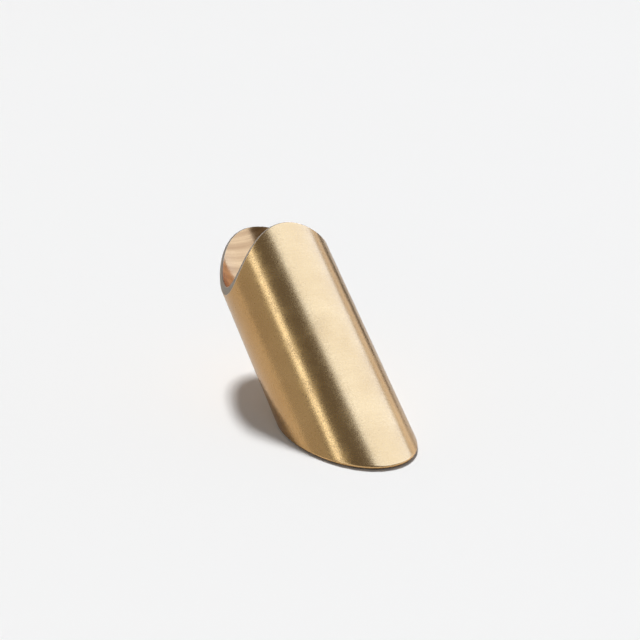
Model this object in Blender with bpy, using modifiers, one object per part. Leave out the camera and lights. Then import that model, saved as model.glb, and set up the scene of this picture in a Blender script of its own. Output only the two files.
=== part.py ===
# Eyeglasses display stand: a leaning brass tube whose round nose carries the bridge of a pair of
# glasses, with a ballast plug in its foot and a non-slip pad under the plug.
#
# Metres, +Z up. The tube leans towards +Y, its nose faces -Y, and X runs across it. The origin is
# the point of the tube's axis on the surface that the stand rests on.
import math

import bmesh
import bpy
from mathutils import Matrix, Vector

# Tube
TUBE_DIAMETER = 0.032
TUBE_WALL = 0.0015
TUBE_LEAN = math.radians(54.0)          # from upright
TUBE_SIDES = 96

# Nose: an arch, cut straight through both walls of the tube's upper end
NOSE_REACH = 0.0587                     # origin to the arch's crown, measured along the tube
NOSE_HALF_WIDTH = 0.016                 # half of the arch's width...
NOSE_DROP = 0.0148                      # ...at this depth below its crown
NOSE_CUT_SLOPE = math.radians(35.8)     # the cut's climb towards the back, from square across
NOSE_CUT_TURN = math.radians(11.0)      # the cut's turn towards +X
NOSE_STEPS = 40

# Non-slip pad
PAD_THICKNESS = 0.0012
PAD_STAND_OUT = 0.0003                  # below the brass, so that only the pad touches the table
PAD_CLEARANCE = 0.0006                  # to the bore, at the pad's tightest point
PAD_EDGE = 0.0002

# Ballast plug
PLUG_CLEARANCE = 0.0003                 # to the bore, all round
PLUG_SEAT_GAP = 0.0003                  # to the pad
PLUG_BACK_LENGTH = 0.0045               # beyond the highest point of the foot's cut
PLUG_CHAMFER = 0.0008

tube_radius = TUBE_DIAMETER / 2
bore_radius = tube_radius - TUBE_WALL
lean_slope = math.tan(TUBE_LEAN)
tilt = Matrix.Rotation(-TUBE_LEAN, 4, "X")


def clear_scene():
    for old in list(bpy.data.objects):
        bpy.data.objects.remove(old, do_unlink=True)


def new_collection(name):
    collection = bpy.data.collections.new(name)
    bpy.context.scene.collection.children.link(collection)
    return collection


def give_material(piece, color, roughness, metallic):
    material = bpy.data.materials.new(piece.name)
    material.use_nodes = True
    shader = material.node_tree.nodes["Principled BSDF"]
    shader.inputs["Base Color"].default_value = (*color, 1.0)
    shader.inputs["Roughness"].default_value = roughness
    shader.inputs["Metallic"].default_value = metallic
    piece.data.materials.append(material)


def mesh_object(name, shape, collection):
    bmesh.ops.recalc_face_normals(shape, faces=shape.faces)
    mesh = bpy.data.meshes.new(name)
    shape.to_mesh(mesh)
    shape.free()
    mesh.shade_smooth()
    mesh.set_sharp_from_angle(angle=math.radians(25))
    piece = bpy.data.objects.new(name, mesh)
    collection.objects.link(piece)
    return piece


def round_bar(name, radius, start, end, collection):
    """A round bar between two distances along the tube's axis."""
    shape = bmesh.new()
    bmesh.ops.create_cone(shape, cap_ends=True, segments=TUBE_SIDES, radius1=radius,
                          radius2=radius, depth=end - start)
    bmesh.ops.translate(shape, verts=shape.verts, vec=(0, 0, (start + end) / 2))
    bmesh.ops.transform(shape, matrix=tilt, verts=shape.verts)
    return mesh_object(name, shape, collection)


def ground_block(name, top, collection):
    """A block that takes away what lies below a height."""
    width = 8 * TUBE_DIAMETER
    depth = 4 * TUBE_DIAMETER
    shape = bmesh.new()
    bmesh.ops.create_cube(shape, size=1)
    bmesh.ops.scale(shape, vec=(width, width, depth), verts=shape.verts)
    bmesh.ops.translate(shape, verts=shape.verts, vec=(0, 0, top - depth / 2))
    return mesh_object(name, shape, collection)


def nose_prism(name, collection):
    """What the nose's cut leaves: an arch on a long base, swept along the cut's direction."""
    half_span = 1.5 * tube_radius
    outline = []
    for step in range(NOSE_STEPS + 1):
        x = half_span * (2 * step / NOSE_STEPS - 1)
        fall = NOSE_DROP * (x / NOSE_HALF_WIDTH) ** 2
        outline.append(Vector((x, -tube_radius, NOSE_REACH - fall)))
    base = -4 * TUBE_DIAMETER
    outline.append(Vector((half_span, -tube_radius, base)))
    outline.append(Vector((-half_span, -tube_radius, base)))

    direction = Vector((math.tan(NOSE_CUT_TURN), 1, math.tan(NOSE_CUT_SLOPE)))
    sweep = 2 * TUBE_DIAMETER * direction
    shape = bmesh.new()
    front = shape.faces.new([shape.verts.new(point - sweep / 4) for point in outline])
    swept = bmesh.ops.extrude_face_region(shape, geom=[front])
    back_points = [item for item in swept["geom"] if isinstance(item, bmesh.types.BMVert)]
    bmesh.ops.translate(shape, verts=back_points, vec=sweep)
    bmesh.ops.transform(shape, matrix=tilt, verts=shape.verts)
    return mesh_object(name, shape, collection)


def cut(piece, cutter, operation="DIFFERENCE"):
    cutter.hide_render = True
    cutter.display_type = "WIRE"
    boolean = piece.modifiers.new(cutter.name, "BOOLEAN")
    boolean.operation = operation
    boolean.object = cutter
    boolean.solver = "EXACT"


def make_tube(parts, cutters):
    reach = 3 * TUBE_DIAMETER + NOSE_REACH
    foot = -tube_radius * lean_slope - TUBE_DIAMETER
    tube = round_bar("brass_tube", tube_radius, foot, reach, parts)
    give_material(tube, (0.72, 0.52, 0.27), 0.3, 1.0)
    bore = round_bar("tube_bore", bore_radius, foot - TUBE_DIAMETER, reach + TUBE_DIAMETER, cutters)
    cut(tube, bore)
    cut(tube, nose_prism("nose_form", cutters), "INTERSECT")
    cut(tube, ground_block("foot_plane", PAD_STAND_OUT, cutters))
    return tube


def make_ballast_plug(parts, cutters):
    radius = bore_radius - PLUG_CLEARANCE
    head = radius * lean_slope + PLUG_BACK_LENGTH
    foot = -radius * lean_slope - TUBE_DIAMETER
    plug = round_bar("ballast_plug", radius, foot, head, parts)
    give_material(plug, (0.42, 0.41, 0.40), 0.4, 1.0)
    bevel = plug.modifiers.new("head_chamfer", "BEVEL")
    bevel.width = PLUG_CHAMFER
    bevel.segments = 1
    bevel.limit_method = "ANGLE"
    bevel.angle_limit = math.radians(60)
    cut(plug, ground_block("plug_seat", PAD_THICKNESS + PLUG_SEAT_GAP, cutters))
    return plug


def make_pad(parts):
    # The bore leans back over the pad's height, which takes this much off the pad's length
    lean_back = PAD_THICKNESS * lean_slope
    half_width = bore_radius - PAD_CLEARANCE
    half_length = bore_radius / math.cos(TUBE_LEAN) - lean_back / 2 - PAD_CLEARANCE
    shape = bmesh.new()
    bmesh.ops.create_cone(shape, cap_ends=True, segments=TUBE_SIDES, radius1=1, radius2=1,
                          depth=PAD_THICKNESS)
    bmesh.ops.scale(shape, vec=(half_width, half_length, 1), verts=shape.verts)
    bmesh.ops.translate(shape, verts=shape.verts, vec=(0, lean_back / 2, PAD_THICKNESS / 2))
    pad = mesh_object("foot_pad", shape, parts)
    give_material(pad, (0.025, 0.025, 0.027), 0.85, 0.0)
    bevel = pad.modifiers.new("pad_edge", "BEVEL")
    bevel.width = PAD_EDGE
    bevel.segments = 2
    bevel.limit_method = "ANGLE"
    bevel.angle_limit = math.radians(60)
    return pad


def build():
    clear_scene()
    parts = new_collection("eyeglasses_display_stand")
    cutters = new_collection("cutters")
    make_tube(parts, cutters)
    make_ballast_plug(parts, cutters)
    make_pad(parts)


build()
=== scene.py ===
# Looks for the eyeglasses display stand: the leaning brass tube, the steel plug in its foot and the
# rubber pad under it. Metres and degrees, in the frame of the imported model.
import math

import bpy
from mathutils import Matrix, Vector


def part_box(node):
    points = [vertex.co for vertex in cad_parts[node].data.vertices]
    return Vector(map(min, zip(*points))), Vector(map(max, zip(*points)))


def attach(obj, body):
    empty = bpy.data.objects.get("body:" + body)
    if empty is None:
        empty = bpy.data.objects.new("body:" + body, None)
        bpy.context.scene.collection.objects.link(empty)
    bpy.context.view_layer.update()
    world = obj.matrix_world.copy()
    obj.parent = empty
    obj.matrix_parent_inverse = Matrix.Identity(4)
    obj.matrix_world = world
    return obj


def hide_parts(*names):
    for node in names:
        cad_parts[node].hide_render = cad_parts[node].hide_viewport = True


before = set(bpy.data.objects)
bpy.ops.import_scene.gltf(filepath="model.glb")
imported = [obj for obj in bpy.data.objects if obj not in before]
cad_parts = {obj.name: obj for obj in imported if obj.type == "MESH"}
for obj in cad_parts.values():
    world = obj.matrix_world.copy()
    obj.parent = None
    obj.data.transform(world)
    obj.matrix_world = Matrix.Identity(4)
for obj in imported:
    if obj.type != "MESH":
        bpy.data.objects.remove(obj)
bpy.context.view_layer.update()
scene = bpy.context.scene
print("frame loaded:", ", ".join(sorted(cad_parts)))


class Wire:
    # A socket that can stand in a formula: each sign makes one math node
    def __init__(self, tree, socket):
        self.tree = tree
        self.socket = socket

    def math(self, operation, *others):
        node = self.tree.nodes.new("ShaderNodeMath")
        node.operation = operation
        feed(self.tree, node.inputs, (self, *others))
        return Wire(self.tree, node.outputs[0])

    def __add__(self, other):
        return self.math("ADD", other)

    def __sub__(self, other):
        return self.math("SUBTRACT", other)

    def __mul__(self, other):
        return self.math("MULTIPLY", other)

    def __truediv__(self, other):
        return self.math("DIVIDE", other)


class Arrow:
    # The same for a vector
    def __init__(self, tree, socket):
        self.tree = tree
        self.socket = socket

    def math(self, operation, other=None):
        node = self.tree.nodes.new("ShaderNodeVectorMath")
        node.operation = operation
        feed(self.tree, node.inputs, (self, other))
        return node.outputs

    def __add__(self, other):
        return Arrow(self.tree, self.math("ADD", other)[0])

    def __sub__(self, other):
        return Arrow(self.tree, self.math("SUBTRACT", other)[0])

    def __mul__(self, factor):
        node = self.tree.nodes.new("ShaderNodeVectorMath")
        node.operation = "SCALE"
        feed(self.tree, (node.inputs[0], node.inputs["Scale"]), (self, factor))
        return Arrow(self.tree, node.outputs[0])

    def unit(self):
        return Arrow(self.tree, self.math("NORMALIZE")[0])

    def dot(self, other):
        return Wire(self.tree, self.math("DOT_PRODUCT", other)["Value"])


def feed(tree, sockets, values):
    for socket, value in zip(sockets, values):
        if isinstance(value, (Wire, Arrow)):
            tree.links.new(value.socket, socket)
        elif value is not None:
            socket.default_value = value


def arrow(tree, x, y, z):
    node = tree.nodes.new("ShaderNodeCombineXYZ")
    feed(tree, node.inputs, (x, y, z))
    return Arrow(tree, node.outputs[0])


def between(start, end, share):
    return start + (end - start) * share


# A piece is drawn as a loop of bands round its axis. A corner is a place on the piece's edge, the
# ways out of the two faces that meet there and the radius that eases it. The bands between two
# corners are straight.

def arcPoint(corner, share):
    # A ball of that radius rolls along the edge, touching both faces
    edge, first, second, radius = corner
    cosine = first.dot(second)
    centre = edge - (first + second) * ((cosine + 1.0).math("POWER", -1.0) * radius)
    turn = cosine.math("ARCCOSINE")
    near = (turn * (share * -1.0 + 1.0)).math("SINE")
    far = (turn * share).math("SINE")
    outward = (first * near + second * far) * turn.math("SINE").math("POWER", -1.0)
    return centre + outward * radius


def cornerEnd(corner, last):
    edge, first, second, radius = corner
    centre = edge - (first + second) * ((first.dot(second) + 1.0).math("POWER", -1.0) * radius)
    return centre + (second if last else first) * radius


def addBand(tree, columns, rows, place, finish, rub):
    # One sheet of quads; finish picks its material and rub marks a worn edge
    grid = tree.nodes.new("GeometryNodeMeshGrid")
    feed(tree, grid.inputs, (1.0, 1.0, columns + 1, rows + 1))
    split = tree.nodes.new("ShaderNodeSeparateXYZ")
    tree.links.new(grid.outputs["UV Map"], split.inputs[0])
    angle = (Wire(tree, split.outputs[0]) - 0.5) * math.tau
    share = Wire(tree, split.outputs[1])
    move = tree.nodes.new("GeometryNodeSetPosition")
    tree.links.new(grid.outputs["Mesh"], move.inputs["Geometry"])
    tree.links.new(place(angle, share).socket, move.inputs["Position"])
    last = move
    for label, kind, domain, value in (("finish", "INT", "FACE", finish), ("rub", "FLOAT", "POINT", rub)):
        store = tree.nodes.new("GeometryNodeStoreNamedAttribute")
        store.data_type = kind
        store.domain = domain
        store.inputs["Name"].default_value = label
        store.inputs["Value"].default_value = value
        tree.links.new(last.outputs[0], store.inputs["Geometry"])
        last = store
    return last.outputs[0]


def straightBand(corner, following, share):
    # Rows crowd towards both ends, so that the shading stays flat up to the eased edges
    crowded = (share * math.pi).math("COSINE") * -0.5 + 0.5
    return between(cornerEnd(corner, True), cornerEnd(following, False), crowded)


def newTree(name, sizes):
    tree = bpy.data.node_groups.new(name, "GeometryNodeTree")
    for label in sizes:
        tree.interface.new_socket(label, in_out="INPUT", socket_type="NodeSocketFloat")
    tree.interface.new_socket("Geometry", in_out="OUTPUT", socket_type="NodeSocketGeometry")
    source = tree.nodes.new("NodeGroupInput")
    return tree, {label: Wire(tree, source.outputs[label]) for label in sizes}


def closeTree(tree, bands, lean, materials):
    weldDistance = 2e-6
    join = tree.nodes.new("GeometryNodeJoinGeometry")
    for band in bands:
        tree.links.new(band, join.inputs[0])
    weld = tree.nodes.new("GeometryNodeMergeByDistance")
    weld.inputs["Distance"].default_value = weldDistance
    tilt = tree.nodes.new("GeometryNodeTransform")
    feed(tree, [tilt.inputs["Rotation"]], [arrow(tree, lean, 0.0, 0.0)])
    smooth = tree.nodes.new("GeometryNodeSetShadeSmooth")
    realize = tree.nodes.new("GeometryNodeRealizeInstances")
    chain = [join, weld, tilt, smooth, realize]
    for number, material in enumerate(materials):
        paint = tree.nodes.new("GeometryNodeSetMaterial")
        paint.inputs["Material"].default_value = material
        chain.append(paint)
        if number == 0:
            # The first goes everywhere, and the others over it where their finish is
            continue
        finish = tree.nodes.new("GeometryNodeInputNamedAttribute")
        finish.data_type = "INT"
        finish.inputs["Name"].default_value = "finish"
        same = tree.nodes.new("FunctionNodeCompare")
        same.data_type = "INT"
        same.operation = "EQUAL"
        same.inputs[3].default_value = number
        tree.links.new(finish.outputs["Attribute"], same.inputs[2])
        tree.links.new(same.outputs[0], paint.inputs["Selection"])
    for before, after in zip(chain, chain[1:]):
        tree.links.new(before.outputs[0], after.inputs[0])
    end = tree.nodes.new("NodeGroupOutput")
    tree.links.new(chain[-1].outputs[0], end.inputs[0])


def grow(name, tree, sizes):
    # Evaluates the tree once and keeps the plain mesh
    seed = bpy.data.objects.new(name + "Seed", bpy.data.meshes.new(name + "Seed"))
    scene.collection.objects.link(seed)
    modifier = seed.modifiers.new("shape", "NODES")
    modifier.node_group = tree
    for item in tree.interface.items_tree:
        if item.in_out == "INPUT":
            modifier[item.identifier] = float(sizes[item.name])
    graph = bpy.context.evaluated_depsgraph_get()
    mesh = bpy.data.meshes.new_from_object(seed.evaluated_get(graph))
    mesh.name = name
    mesh.attributes.remove(mesh.attributes["finish"])
    bpy.data.objects.remove(seed)
    piece = bpy.data.objects.new(name, mesh)
    scene.collection.objects.link(piece)
    print(f"{name}: {len(mesh.polygons)} faces")
    return piece


def newMaterial(name):
    material = bpy.data.materials.new(name)
    material.use_nodes = True
    return material, material.node_tree


def mixColours(tree, share, before, after):
    node = tree.nodes.new("ShaderNodeMix")
    node.data_type = "RGBA"
    feed(tree, (node.inputs[0], node.inputs[6], node.inputs[7]), (share, before, after))
    return Wire(tree, node.outputs[2])


def grainGroup():
    # Fine lines that run across an axis, a speckle between them and slow blotches
    group = bpy.data.node_groups.new("satinGrain", "ShaderNodeTree")
    for label, kind, value in (("Place", "NodeSocketVector", None), ("Line spacing", "NodeSocketFloat", 6.0),
                               ("Line length", "NodeSocketFloat", 0.12), ("Speckle", "NodeSocketFloat", 3.0)):
        socket = group.interface.new_socket(label, in_out="INPUT", socket_type=kind)
        if value is not None:
            socket.default_value = value
    for label in ("Lines", "Speckle", "Blotches", "Height"):
        group.interface.new_socket(label, in_out="OUTPUT", socket_type="NodeSocketFloat")
    source = group.nodes.new("NodeGroupInput")
    end = group.nodes.new("NodeGroupOutput")
    place = Arrow(group, source.outputs["Place"])
    spacing = Wire(group, source.outputs["Line spacing"])
    length = Wire(group, source.outputs["Line length"])
    stretched = place.math("MULTIPLY", arrow(group, length, length, spacing))[0]

    def noise(vector, scale, detail, rough):
        node = group.nodes.new("ShaderNodeTexNoise")
        sockets = [node.inputs[label] for label in ("Vector", "Scale", "Detail", "Roughness")]
        feed(group, sockets, (vector, scale, detail, rough))
        return Wire(group, node.outputs[0])

    lines = noise(Arrow(group, stretched), 1.0, 4.0, 0.65)
    speckle = noise(place, Wire(group, source.outputs["Speckle"]), 2.0, 0.6)
    blotches = noise(place, 0.09, 2.0, 0.5)
    height = lines * 0.55 + speckle * 0.45
    for label, wire in (("Lines", lines), ("Speckle", speckle), ("Blotches", blotches), ("Height", height)):
        group.links.new(wire.socket, end.inputs[label])
    return group


def handlingGroup():
    # Dust specks and the faint marks that fingers and cloths leave
    group = bpy.data.node_groups.new("handlingMarks", "ShaderNodeTree")
    group.interface.new_socket("Place", in_out="INPUT", socket_type="NodeSocketVector")
    for label in ("Smear", "Dust"):
        group.interface.new_socket(label, in_out="OUTPUT", socket_type="NodeSocketFloat")
    source = group.nodes.new("NodeGroupInput")
    end = group.nodes.new("NodeGroupOutput")
    settings = {"Smear": (0.16, 3.0, 0.52, 0.72), "Dust": (2.6, 1.0, 0.74, 0.82)}
    for label, (scale, detail, low, high) in settings.items():
        node = group.nodes.new("ShaderNodeTexNoise")
        node.inputs["Scale"].default_value = scale
        node.inputs["Detail"].default_value = detail
        group.links.new(source.outputs["Place"], node.inputs["Vector"])
        ramp = group.nodes.new("ShaderNodeMapRange")
        feed(group, ramp.inputs, (Wire(group, node.outputs[0]), low, high, 0.0, 1.0))
        group.links.new(ramp.outputs[0], end.inputs[label])
    return group


satinGrain = grainGroup()
handlingMarks = handlingGroup()


def placeInMillimetres(tree, lean):
    # Object coordinates in millimetres, turned so that Z runs along the tube
    source = tree.nodes.new("ShaderNodeTexCoord")
    mapping = tree.nodes.new("ShaderNodeMapping")
    mapping.inputs["Rotation"].default_value = (math.radians(lean), 0.0, 0.0)
    mapping.inputs["Scale"].default_value = (1000.0, 1000.0, 1000.0)
    tree.links.new(source.outputs["Object"], mapping.inputs["Vector"])
    return Arrow(tree, mapping.outputs[0])


lacquerIndex = 1.65             # of refraction


def metalFinish(name, look, lean):
    # A satin metal: tone, roughness and relief all follow the same grain
    material, tree = newMaterial(name)
    shader = tree.nodes["Principled BSDF"]
    place = placeInMillimetres(tree, lean)
    grain = tree.nodes.new("ShaderNodeGroup")
    grain.node_tree = satinGrain
    feed(tree, grain.inputs, (place, look["lineSpacing"], look["lineLength"], look["speckle"]))
    marks = tree.nodes.new("ShaderNodeGroup")
    marks.node_tree = handlingMarks
    feed(tree, marks.inputs, (place,))

    def spread(output, low, high):
        # The noises lie mostly between 0.3 and 0.7
        node = tree.nodes.new("ShaderNodeMapRange")
        feed(tree, node.inputs, (Wire(tree, output), 0.3, 0.7, low, high))
        return Wire(tree, node.outputs[0])

    bright = (*look["bright"], 1.0)
    deep = (*look["deep"], 1.0)
    worn = (*look["worn"], 1.0)
    colour = mixColours(tree, spread(grain.outputs["Lines"], 0.0, look["lineTone"]), bright, deep)
    colour = mixColours(tree, spread(grain.outputs["Speckle"], 0.0, look["speckleTone"]), colour, deep)
    colour = mixColours(tree, spread(grain.outputs["Blotches"], 0.0, look["blotchTone"]), colour, deep)
    rub = tree.nodes.new("ShaderNodeAttribute")
    rub.attribute_name = "rub"
    colour = mixColours(tree, Wire(tree, rub.outputs["Fac"]) * look["edgeTone"], colour, worn)
    tree.links.new(colour.socket, shader.inputs["Base Color"])

    smoothest = look["rough"] - look["roughSpread"]
    roughest = look["rough"] + look["roughSpread"]
    rough = spread(grain.outputs["Speckle"], smoothest, roughest)
    rough = rough + Wire(tree, marks.outputs["Smear"]) * look["smear"]
    rough = rough + Wire(tree, marks.outputs["Dust"]) * look["dust"]
    tree.links.new(rough.socket, shader.inputs["Roughness"])
    shader.inputs["Metallic"].default_value = 1.0
    shader.inputs["Coat Weight"].default_value = look["lacquer"]
    shader.inputs["Coat Roughness"].default_value = look["lacquerRough"]
    shader.inputs["Coat IOR"].default_value = lacquerIndex

    bump = tree.nodes.new("ShaderNodeBump")
    bump.inputs["Strength"].default_value = 1.0
    bump.inputs["Distance"].default_value = look["relief"]
    tree.links.new(grain.outputs["Height"], bump.inputs["Height"])
    tree.links.new(bump.outputs[0], shader.inputs["Normal"])
    return material


# Tube

tube = {
    "lean": 54.0,               # from upright
    "wall": 0.0015,
    "noseReach": 0.0587,        # from the foot's middle to the crown of the nose, along the tube
    "noseHalfWidth": 0.016,     # half of the nose's arch at noseDrop below its crown
    "noseDrop": 0.0148,
    "noseClimb": 35.8,          # how the cut climbs towards the back
    "noseTurn": 11.0,           # and turns to +X
    "footEase": 0.0005,
    "footInnerEase": 0.00012,
    "noseEase": 0.0003,
    "noseInnerEase": 0.00018,
    "columns": 288,
    "wallRows": 28,
}
brushedLook = {
    "bright": (0.84, 0.515, 0.20), "deep": (0.62, 0.34, 0.105), "worn": (0.90, 0.57, 0.25),
    "lineSpacing": 5.0, "lineLength": 0.10, "speckle": 3.2,
    "lineTone": 0.35, "speckleTone": 0.5, "blotchTone": 0.6, "edgeTone": 0.6,
    "rough": 0.23, "roughSpread": 0.08, "smear": 0.07, "dust": 0.12,
    "lacquer": 0.6, "lacquerRough": 0.2, "relief": 0.000022,
}
# The bore has a fine speckled grain under broad bands that run round it from bright to deep. The bands are
# painted reflection
boreLookPaintedBands = {
    "bright": (0.80, 0.46, 0.19), "deep": (0.42, 0.21, 0.08), "worn": (0.88, 0.56, 0.26),
    "lineSpacing": 0.42, "lineLength": 0.015, "speckle": 2.0,
    "lineTone": 1.0, "speckleTone": 0.2, "blotchTone": 0.4, "edgeTone": 0.5,
    "rough": 0.2, "roughSpread": 0.04, "smear": 0.05, "dust": 0.10,
    "lacquer": 0.0, "lacquerRough": 0.1, "relief": 0.000012,
}
# The cut faces at the nose and the foot have a grey brushed finish, painted much darker than the brass. That
# darkness is painted shade
cutLookPaintedShade = {
    "bright": (0.30, 0.235, 0.165), "deep": (0.20, 0.155, 0.105), "worn": (0.44, 0.33, 0.20),
    "lineSpacing": 9.0, "lineLength": 0.6, "speckle": 4.0,
    "lineTone": 0.5, "speckleTone": 0.4, "blotchTone": 0.3, "edgeTone": 0.6,
    "rough": 0.36, "roughSpread": 0.07, "smear": 0.03, "dust": 0.10,
    "lacquer": 0.2, "lacquerRough": 0.3, "relief": 0.000014,
}


def makeTube():
    low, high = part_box("brass_tube")
    sizes = {
        "Radius": (high.x - low.x) / 2,
        "Wall": tube["wall"],
        "Lean": math.radians(tube["lean"]),
        "Foot height": low.z,
        "Nose reach": tube["noseReach"],
        "Nose half width": tube["noseHalfWidth"],
        "Nose drop": tube["noseDrop"],
        "Nose climb": math.tan(math.radians(tube["noseClimb"])),
        "Nose turn": math.tan(math.radians(tube["noseTurn"])),
        "Foot ease": tube["footEase"],
        "Foot inner ease": tube["footInnerEase"],
        "Nose ease": tube["noseEase"],
        "Nose inner ease": tube["noseInnerEase"],
    }
    tree, given = newTree("leaningTube", sizes)
    leanSine = given["Lean"].math("SINE")
    leanCosine = given["Lean"].math("COSINE")
    footOut = arrow(tree, 0.0, leanSine, leanCosine * -1.0)

    def around(radius, angle):
        # Across and towards the back, for an angle measured from the ridge of the tube
        return radius * angle.math("SINE"), radius * angle.math("COSINE") * -1.0

    def wallOut(angle, sign):
        return arrow(tree, angle.math("SINE") * sign, angle.math("COSINE") * -sign, 0.0)

    def mouthCorner(radius, angle, sign, ease, fromWall):
        # One arch swept straight through both walls
        across, back = around(radius, angle)
        depth = back + given["Radius"]
        share = (across - depth * given["Nose turn"]) / given["Nose half width"]
        fall = given["Nose drop"] * share * share
        edge = arrow(tree, across, back, given["Nose reach"] - fall + depth * given["Nose climb"])
        slide = given["Nose drop"] * share * 2.0 / given["Nose half width"]
        pull = slide * given["Nose turn"] + given["Nose climb"]
        faceOut = arrow(tree, slide, pull * -1.0, 1.0).unit()
        wall = wallOut(angle, sign)
        return (edge, wall, faceOut, ease) if fromWall else (edge, faceOut, wall, ease)

    def footCorner(radius, angle, sign, ease, fromWall):
        across, back = around(radius, angle)
        height = (given["Foot height"] + back * leanSine) / leanCosine
        edge = arrow(tree, across, back, height)
        wall = wallOut(angle, sign)
        return (edge, wall, footOut, ease) if fromWall else (edge, footOut, wall, ease)

    outer = given["Radius"]
    bore = given["Radius"] - given["Wall"]
    corners = [
        lambda angle: footCorner(outer, angle, 1.0, given["Foot ease"], False),
        lambda angle: mouthCorner(outer, angle, 1.0, given["Nose ease"], True),
        lambda angle: mouthCorner(bore, angle, -1.0, given["Nose inner ease"], False),
        lambda angle: footCorner(bore, angle, -1.0, given["Foot inner ease"], True),
    ]
    # Rows of faces and finish: of the four eased edges, then of the wall, nose, bore and foot
    brushed, cutFace, boreFace = 0, 1, 2
    arcs = ((8, brushed), (6, brushed), (5, cutFace), (4, cutFace))
    flats = ((tube["wallRows"], brushed), (4, cutFace), (tube["wallRows"], boreFace), (3, cutFace))
    bands = []
    for number, corner in enumerate(corners):
        following = corners[(number + 1) % len(corners)]
        rows, finish = arcs[number]
        bands.append(addBand(tree, tube["columns"], rows,
                             lambda angle, share, corner=corner: arcPoint(corner(angle), share), finish, 1.0))
        rows, finish = flats[number]
        bands.append(addBand(tree, tube["columns"], rows,
                             lambda angle, share, corner=corner, following=following: straightBand(
                                 corner(angle), following(angle), share), finish, 0.0))
    # Of these, the cut faces carry painted shade and the bore carries painted reflection bands
    materials = [metalFinish("brushedBrass", brushedLook, tube["lean"]),
                 metalFinish("cutBrassPaintedShade", cutLookPaintedShade, tube["lean"]),
                 metalFinish("boreBrassPaintedBands", boreLookPaintedBands, tube["lean"])]
    closeTree(tree, bands, given["Lean"] * -1.0, materials)
    piece = grow("brassTube", tree, sizes)
    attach(piece, "root")
    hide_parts("brass_tube")
    return piece


makeTube()

# Ballast plug

plug = {
    "backLength": 0.0045,       # its head stands this far beyond the highest point of the foot's cut
    "footEase": 0.0002,
    "chamfer": 0.0008,
    "chamferEase": 0.00015,
    "columns": 192,
}
turnedLook = {
    "bright": (0.56, 0.55, 0.53), "deep": (0.40, 0.385, 0.365), "worn": (0.66, 0.65, 0.63),
    "lineSpacing": 6.0, "lineLength": 0.03, "speckle": 2.6,
    "lineTone": 0.7, "speckleTone": 0.35, "blotchTone": 0.4, "edgeTone": 0.7,
    "rough": 0.34, "roughSpread": 0.06, "smear": 0.05, "dust": 0.1,
    "lacquer": 0.0, "lacquerRough": 0.2, "relief": 0.000015,
}


def makePlug():
    low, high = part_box("ballast_plug")
    radius = (high.x - low.x) / 2
    sizes = {
        "Radius": radius,
        "Lean": math.radians(tube["lean"]),
        "Seat height": low.z,
        "Head reach": radius * math.tan(math.radians(tube["lean"])) + plug["backLength"],
        "Foot ease": plug["footEase"],
        "Chamfer": plug["chamfer"],
        "Chamfer ease": plug["chamferEase"],
    }
    tree, given = newTree("ballastPlug", sizes)
    leanSine = given["Lean"].math("SINE")
    leanCosine = given["Lean"].math("COSINE")
    seatOut = arrow(tree, 0.0, leanSine, leanCosine * -1.0)
    headOut = arrow(tree, 0.0, 0.0, 1.0)

    def onCircle(radius, angle, height):
        return arrow(tree, radius * angle.math("SINE"), radius * angle.math("COSINE") * -1.0, height)

    def wallOut(angle):
        return arrow(tree, angle.math("SINE"), angle.math("COSINE") * -1.0, 0.0)

    def seatCorner(angle):
        back = given["Radius"] * angle.math("COSINE") * -1.0
        edge = onCircle(given["Radius"], angle, (given["Seat height"] + back * leanSine) / leanCosine)
        return edge, seatOut, wallOut(angle), given["Foot ease"]

    def lowerChamfer(angle):
        edge = onCircle(given["Radius"], angle, given["Head reach"] - given["Chamfer"])
        return edge, wallOut(angle), (wallOut(angle) + headOut).unit(), given["Chamfer ease"]

    def upperChamfer(angle):
        edge = onCircle(given["Radius"] - given["Chamfer"], angle, given["Head reach"])
        return edge, (wallOut(angle) + headOut).unit(), headOut, given["Chamfer ease"]

    seatMiddle = arrow(tree, 0.0, 0.0, given["Seat height"] / leanCosine)
    headMiddle = arrow(tree, 0.0, 0.0, given["Head reach"])
    steps = [
        (5, lambda angle, share: between(seatMiddle, cornerEnd(seatCorner(angle), False), share), 0.0),
        (5, lambda angle, share: arcPoint(seatCorner(angle), share), 1.0),
        (20, lambda angle, share: straightBand(seatCorner(angle), lowerChamfer(angle), share), 0.0),
        (4, lambda angle, share: arcPoint(lowerChamfer(angle), share), 1.0),
        (3, lambda angle, share: straightBand(lowerChamfer(angle), upperChamfer(angle), share), 0.6),
        (4, lambda angle, share: arcPoint(upperChamfer(angle), share), 1.0),
        (6, lambda angle, share: between(cornerEnd(upperChamfer(angle), True), headMiddle, share), 0.0),
    ]
    bands = [addBand(tree, plug["columns"], rows, place, 0, rub) for rows, place, rub in steps]
    materials = [metalFinish("turnedSteel", turnedLook, tube["lean"])]
    closeTree(tree, bands, given["Lean"] * -1.0, materials)
    piece = grow("ballastPlug", tree, sizes)
    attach(piece, "root")
    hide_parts("ballast_plug")
    return piece


makePlug()

# Foot pad

pad = {
    "edge": 0.0002,
    "columns": 192,
}
rubberLook = {
    "flat": (0.030, 0.030, 0.032), "raised": (0.052, 0.052, 0.054),
    "pebble": 3.5, "rough": 0.82, "roughSpread": 0.10, "relief": 0.00004,
}


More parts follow.
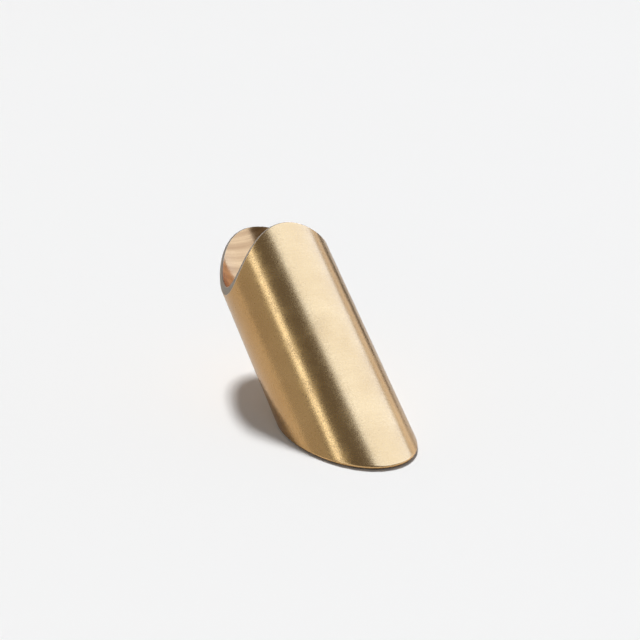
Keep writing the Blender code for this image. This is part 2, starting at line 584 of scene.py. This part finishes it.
def rubberFinish(name, look):
    material, tree = newMaterial(name)
    shader = tree.nodes["Principled BSDF"]
    place = placeInMillimetres(tree, 0.0)
    pebbles = tree.nodes.new("ShaderNodeTexVoronoi")
    pebbles.feature = "SMOOTH_F1"
    feed(tree, (pebbles.inputs["Vector"], pebbles.inputs["Scale"]), (place, look["pebble"]))
    height = Wire(tree, pebbles.outputs["Distance"])
    # The hollows between the pebbles are darker than the raised tops: painted shade
    tone = mixColours(tree, height, (*look["raised"], 1.0), (*look["flat"], 1.0))
    tree.links.new(tone.socket, shader.inputs["Base Color"])
    rough = tree.nodes.new("ShaderNodeMapRange")
    feed(tree, rough.inputs,
         (height, 0.0, 0.8, look["rough"] - look["roughSpread"], look["rough"] + look["roughSpread"]))
    tree.links.new(rough.outputs[0], shader.inputs["Roughness"])
    bump = tree.nodes.new("ShaderNodeBump")
    bump.inputs["Distance"].default_value = look["relief"]
    tree.links.new((height * -1.0).socket, bump.inputs["Height"])
    tree.links.new(bump.outputs[0], shader.inputs["Normal"])
    return material


def makePad():
    low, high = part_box("foot_pad")
    sizes = {
        "Half width": (high.x - low.x) / 2,
        "Half length": (high.y - low.y) / 2,
        "Middle": (high.y + low.y) / 2,
        "Thickness": high.z - low.z,
        "Edge": pad["edge"],
    }
    tree, given = newTree("footPad", sizes)
    down = arrow(tree, 0.0, 0.0, -1.0)
    upward = arrow(tree, 0.0, 0.0, 1.0)

    def corner(angle, height, first, second):
        x = angle.math("SINE")
        y = angle.math("COSINE") * -1.0
        edge = arrow(tree, given["Half width"] * x, given["Half length"] * y + given["Middle"], height)
        wall = arrow(tree, x / given["Half width"], y / given["Half length"], 0.0).unit()
        return edge, first or wall, second or wall, given["Edge"]

    def lower(angle):
        return corner(angle, 0.0, down, None)

    def upper(angle):
        return corner(angle, given["Thickness"], None, upward)

    under = arrow(tree, 0.0, given["Middle"], 0.0)
    over = arrow(tree, 0.0, given["Middle"], given["Thickness"])
    steps = [
        (8, lambda angle, share: between(under, cornerEnd(lower(angle), False), share)),
        (5, lambda angle, share: arcPoint(lower(angle), share)),
        (4, lambda angle, share: straightBand(lower(angle), upper(angle), share)),
        (5, lambda angle, share: arcPoint(upper(angle), share)),
        (8, lambda angle, share: between(cornerEnd(upper(angle), True), over, share)),
    ]
    bands = [addBand(tree, pad["columns"], rows, place, 0, 0.0) for rows, place in steps]
    materials = [rubberFinish("padRubber", rubberLook)]
    closeTree(tree, bands, 0.0, materials)
    piece = grow("footPad", tree, sizes)
    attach(piece, "root")
    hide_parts("foot_pad")
    return piece


makePad()

# Camera, placed by the direction it looks in

view = {
    "azimuth": -26.09,          # 0 looks along +Y
    "elevation": 19.66,
    "distance": 0.4734,
    "aim": (-0.0019, 0.0120, 0.0279),
    "lens": 101.25,
}


def makeCamera():
    azimuth = math.radians(view["azimuth"])
    elevation = math.radians(view["elevation"])
    forward = Vector((-math.sin(azimuth) * math.cos(elevation), math.cos(azimuth) * math.cos(elevation),
                      -math.sin(elevation)))
    lens = bpy.data.cameras.new("view")
    lens.lens = view["lens"]
    lens.sensor_width = 36.0
    lens.clip_start = 0.01
    lens.clip_end = 50.0
    camera = bpy.data.objects.new("view", lens)
    camera.location = Vector(view["aim"]) - forward * view["distance"]
    camera.rotation_euler = forward.to_track_quat("-Z", "Y").to_euler()
    scene.collection.objects.link(camera)
    scene.camera = camera


makeCamera()
print("camera ready")

# Studio

studio = {
    "floorRadius": 8.0,
    "floorColour": (0.90, 0.90, 0.895),
    "shadedFloorInMetal": (0.60, 0.575, 0.54),  # the floor as the brass reflects it, darker and warmer than it is: painted shade
    "horizon": (0.93, 0.93, 0.93),
    "overhead": (0.14, 0.14, 0.145),
    "overheadStart": 0.22,      # heights on a sphere of radius 1, where the pale backdrop ends...
    "overheadEnd": 0.42,        # ...and the dark room begins
    "sunAzimuth": 17.0,         # 0 is behind the stand, 90 is to its right
    "sunElevation": 52.0,
    "sunStrength": 3.15,
    "sunAngle": 9.0,            # the wider, the softer the shadow
}
lamps = {
    # Middle of the lamp, its reach across and along the tube, and how bright it looks in the brass
    "rightPanel": {"azimuth": 90.0, "elevation": 57.5, "distance": 0.75, "across": 1.18, "along": 0.9,
                   "glow": 1.5, "tint": (0.77, 1.07, 1.80)},
    "leftStrip": {"azimuth": -82.0, "elevation": 38.5, "distance": 0.75, "across": 0.14, "along": 0.6,
                  "glow": 1.8, "tint": (0.95, 1.12, 1.35)},
}
reflectionBoards = {
    # Boards that glow and that only the metal sees, painted reflection: the left one a grey patch, the right
    # one a nearly black band
    "leftReflectionBoard": {"azimuth": -65.0, "elevation": 12.0, "distance": 0.7, "across": 0.46, "along": 0.8,
                 "glow": 0.40},
    "rightReflectionBoard": {"azimuth": 56.0, "elevation": 0.5, "distance": 0.4, "across": 0.085, "along": 0.5,
                  "glow": 0.05},
}


def towards(azimuth, elevation):
    azimuth = math.radians(azimuth)
    elevation = math.radians(elevation)
    return Vector((math.sin(azimuth) * math.cos(elevation), math.cos(azimuth) * math.cos(elevation),
                   math.sin(elevation)))


def facingStand(board):
    # A place on a sphere round the stand, facing it, with its long side along the tube
    outward = towards(board["azimuth"], board["elevation"])
    lean = math.radians(tube["lean"])
    along = Vector((0.0, math.sin(lean), math.cos(lean)))
    along = (along - outward * along.dot(outward)).normalized()
    across = along.cross(outward)
    turn = Matrix((across, along, outward)).transposed().to_4x4()
    return Matrix.Translation(Vector(view["aim"]) + outward * board["distance"]) @ turn


def makeLamp(name, lamp):
    light = bpy.data.lights.new(name, "AREA")
    light.shape = "RECTANGLE"
    light.size = lamp["across"]
    light.size_y = lamp["along"]
    light.color = lamp["tint"]
    # Power that makes the lamp look as bright as its glow
    light.energy = lamp["glow"] * math.pi * lamp["across"] * lamp["along"]
    thing = bpy.data.objects.new(name, light)
    thing.matrix_world = facingStand(lamp)
    thing.visible_camera = False
    thing.visible_diffuse = False
    scene.collection.objects.link(thing)


def makeReflectionBoard(name, card):
    mesh = bpy.data.meshes.new(name)
    x = card["across"] / 2
    y = card["along"] / 2
    mesh.from_pydata([(-x, -y, 0), (x, -y, 0), (x, y, 0), (-x, y, 0)], [], [(0, 1, 2, 3)])
    material, tree = newMaterial(name)
    shader = tree.nodes["Principled BSDF"]
    shader.inputs["Base Color"].default_value = (0.0, 0.0, 0.0, 1.0)
    shader.inputs["Specular IOR Level"].default_value = 0.0
    # The board shines by itself, not by lamplight. Its glow is painted reflection
    shader.inputs["Emission Color"].default_value = (1.0, 1.0, 1.0, 1.0)
    shader.inputs["Emission Strength"].default_value = card["glow"]
    mesh.materials.append(material)
    board = bpy.data.objects.new(name, mesh)
    board.matrix_world = facingStand(card)
    board.visible_camera = False
    board.visible_diffuse = False
    board.visible_shadow = False
    scene.collection.objects.link(board)


def makeSun():
    light = bpy.data.lights.new("key", "SUN")
    light.energy = studio["sunStrength"]
    light.angle = math.radians(studio["sunAngle"])
    sun = bpy.data.objects.new("key", light)
    outward = towards(studio["sunAzimuth"], studio["sunElevation"])
    sun.rotation_euler = outward.to_track_quat("Z", "Y").to_euler()
    sun.visible_glossy = False
    scene.collection.objects.link(sun)


def makeWorld():
    world = bpy.data.worlds.new("studio")
    scene.world = world
    world.use_nodes = True
    tree = world.node_tree
    source = tree.nodes.new("ShaderNodeTexCoord")
    split = tree.nodes.new("ShaderNodeSeparateXYZ")
    tree.links.new(source.outputs["Generated"], split.inputs[0])
    ramp = tree.nodes.new("ShaderNodeMapRange")
    ramp.interpolation_type = "SMOOTHSTEP"
    feed(tree, ramp.inputs,
         (Wire(tree, split.outputs[2]), studio["overheadStart"], studio["overheadEnd"], 0.0, 1.0))
    colour = mixColours(tree, Wire(tree, ramp.outputs[0]), (*studio["horizon"], 1.0),
                        (*studio["overhead"], 1.0))
    tree.links.new(colour.socket, tree.nodes["Background"].inputs["Color"])


def makeFloor():
    bpy.ops.mesh.primitive_circle_add(vertices=96, radius=studio["floorRadius"], fill_type="NGON")
    floor = bpy.context.object
    floor.name = "floor"
    material, tree = newMaterial("paleFloor")
    shader = tree.nodes["Principled BSDF"]
    path = tree.nodes.new("ShaderNodeLightPath")
    # Glossy rays see the darker floor colour: painted shade in the brass's reflections
    colour = mixColours(tree, Wire(tree, path.outputs["Is Glossy Ray"]), (*studio["floorColour"], 1.0),
                        (*studio["shadedFloorInMetal"], 1.0))
    tree.links.new(colour.socket, shader.inputs["Base Color"])
    shader.inputs["Roughness"].default_value = 0.9
    shader.inputs["Specular IOR Level"].default_value = 0.1
    floor.data.materials.append(material)


makeFloor()
makeWorld()
makeSun()
for name, lamp in lamps.items():
    makeLamp(name, lamp)
for name, card in reflectionBoards.items():
    makeReflectionBoard(name, card)
scene.view_settings.view_transform = "Standard"
print("studio ready")
